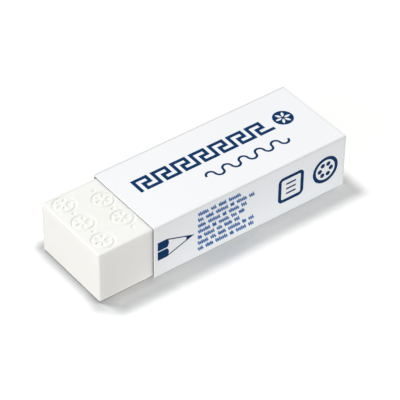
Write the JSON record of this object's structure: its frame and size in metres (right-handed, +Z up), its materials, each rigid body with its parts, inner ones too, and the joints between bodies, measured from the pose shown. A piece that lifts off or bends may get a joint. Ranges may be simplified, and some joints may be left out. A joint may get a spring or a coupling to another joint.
{
  "type": "rubber eraser",
  "caption": "White vinyl block eraser with a moulded top, in a folded and printed card sleeve that slides along it.",
  "frame": {"origin": "middle of the underside of the whole eraser, on the surface that it lies on", "axes": "+X along the block from the bare rubbing end towards the sleeve, -Y is the printed narrow side, +Z up through the wide patterned face"},
  "size_m": [0.0654, 0.0218, 0.0138],
  "materials": {
    "white_vinyl": "soft matt white vinyl with a faint warm tint",
    "white_card": "smooth coated white card, cut edges uncoated",
    "navy_ink": "flat navy printing ink under the card's satin coat"
  },
  "bodies": {
    "block": {"eraser_block": "white_vinyl"},
    "sleeve": {"card_sleeve": "white_card", "sleeve_print": "navy_ink"}
  },
  "joints": [
    {"name": "sleeve_slide", "type": "slide", "parent": "block", "child": "sleeve", "axis": [1, 0, 0], "range_m": [-0.0137, 0.052]}
  ]
}
